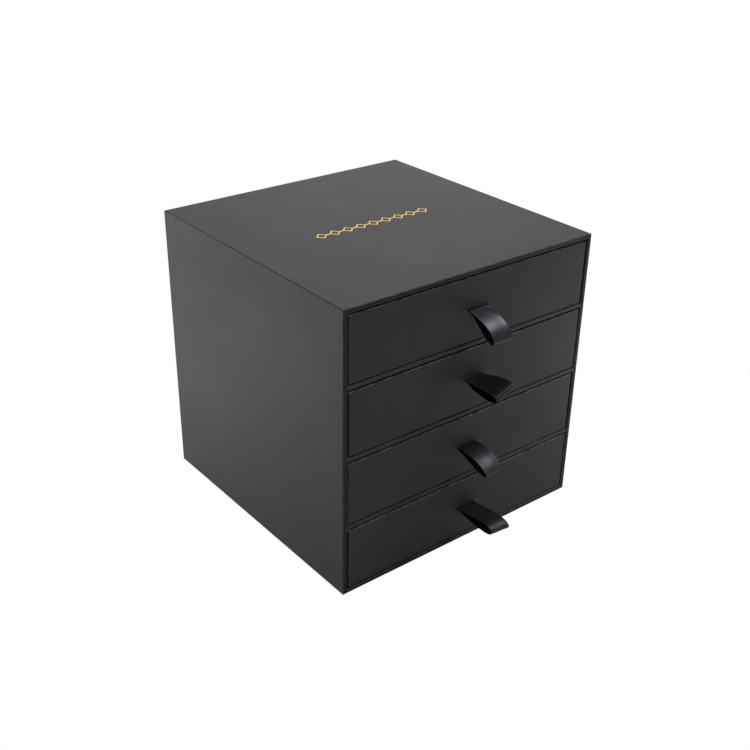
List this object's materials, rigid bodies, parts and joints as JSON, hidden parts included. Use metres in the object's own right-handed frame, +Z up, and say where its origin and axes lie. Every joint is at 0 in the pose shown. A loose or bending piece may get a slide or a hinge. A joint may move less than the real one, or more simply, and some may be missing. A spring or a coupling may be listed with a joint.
{
  "type": "drawer gift box",
  "caption": "Square rigid gift box of board wrapped in black paper, with stacked tray drawers on wrapped shelves, each pulled out by a loop of satin ribbon.",
  "frame": {"origin": "centre of the case's footprint, on the face it rests on", "axes": "+Z up, the drawers face and slide out along -Y, the back faces +Y, +X to the right seen from the front"},
  "size_m": [0.2, 0.2336, 0.196],
  "materials": {
    "greyboard": "raw recycled greyboard, hidden under the paper",
    "black_paper": "matt black wrapping paper with a faint tooth",
    "lining_paper": "matt black lining paper",
    "lining_card": "thin card, black on both faces",
    "black_satin": "double-faced black satin ribbon with a soft sheen"
  },
  "bodies": {
    "case": {"case_top_board": "greyboard", "case_bottom_board": "greyboard", "case_left_board": "greyboard", "case_right_board": "greyboard", "case_back_board": "greyboard", "case_wrap": "black_paper", "case_base_sheet": "black_paper", "case_back_sheet": "black_paper", "case_left_lining": "lining_paper", "case_right_lining": "lining_paper", "case_floor_lining": "lining_paper", "case_top_lining": "lining_paper", "case_back_lining": "lining_paper", "shelf_1_board": "greyboard", "shelf_1_wrap": "black_paper", "shelf_2_board": "greyboard", "shelf_2_wrap": "black_paper", "shelf_3_board": "greyboard", "shelf_3_wrap": "black_paper"},
    "drawer_1": {"drawer_1_base_board": "greyboard", "drawer_1_front_board": "greyboard", "drawer_1_back_board": "greyboard", "drawer_1_left_board": "greyboard", "drawer_1_right_board": "greyboard", "drawer_1_wrap": "black_paper", "drawer_1_floor_liner": "lining_paper", "drawer_1_front_facing": "lining_card", "drawer_1_ribbon_pull": "black_satin"},
    "drawer_2": {"drawer_2_base_board": "greyboard", "drawer_2_front_board": "greyboard", "drawer_2_back_board": "greyboard", "drawer_2_left_board": "greyboard", "drawer_2_right_board": "greyboard", "drawer_2_wrap": "black_paper", "drawer_2_floor_liner": "lining_paper", "drawer_2_front_facing": "lining_card", "drawer_2_ribbon_pull": "black_satin"},
    "drawer_3": {"drawer_3_base_board": "greyboard", "drawer_3_front_board": "greyboard", "drawer_3_back_board": "greyboard", "drawer_3_left_board": "greyboard", "drawer_3_right_board": "greyboard", "drawer_3_wrap": "black_paper", "drawer_3_floor_liner": "lining_paper", "drawer_3_front_facing": "lining_card", "drawer_3_ribbon_pull": "black_satin"},
    "drawer_4": {"drawer_4_base_board": "greyboard", "drawer_4_front_board": "greyboard", "drawer_4_back_board": "greyboard", "drawer_4_left_board": "greyboard", "drawer_4_right_board": "greyboard", "drawer_4_wrap": "black_paper", "drawer_4_floor_liner": "lining_paper", "drawer_4_front_facing": "lining_card", "drawer_4_ribbon_pull": "black_satin"}
  },
  "joints": [
    {"name": "drawer_1_slide", "type": "slide", "parent": "case", "child": "drawer_1", "axis": [0, -1, 0], "range_m": [0, 0.175]},
    {"name": "drawer_2_slide", "type": "slide", "parent": "case", "child": "drawer_2", "axis": [0, -1, 0], "range_m": [0, 0.175]},
    {"name": "drawer_3_slide", "type": "slide", "parent": "case", "child": "drawer_3", "axis": [0, -1, 0], "range_m": [0, 0.175]},
    {"name": "drawer_4_slide", "type": "slide", "parent": "case", "child": "drawer_4", "axis": [0, -1, 0], "range_m": [0, 0.175]}
  ]
}
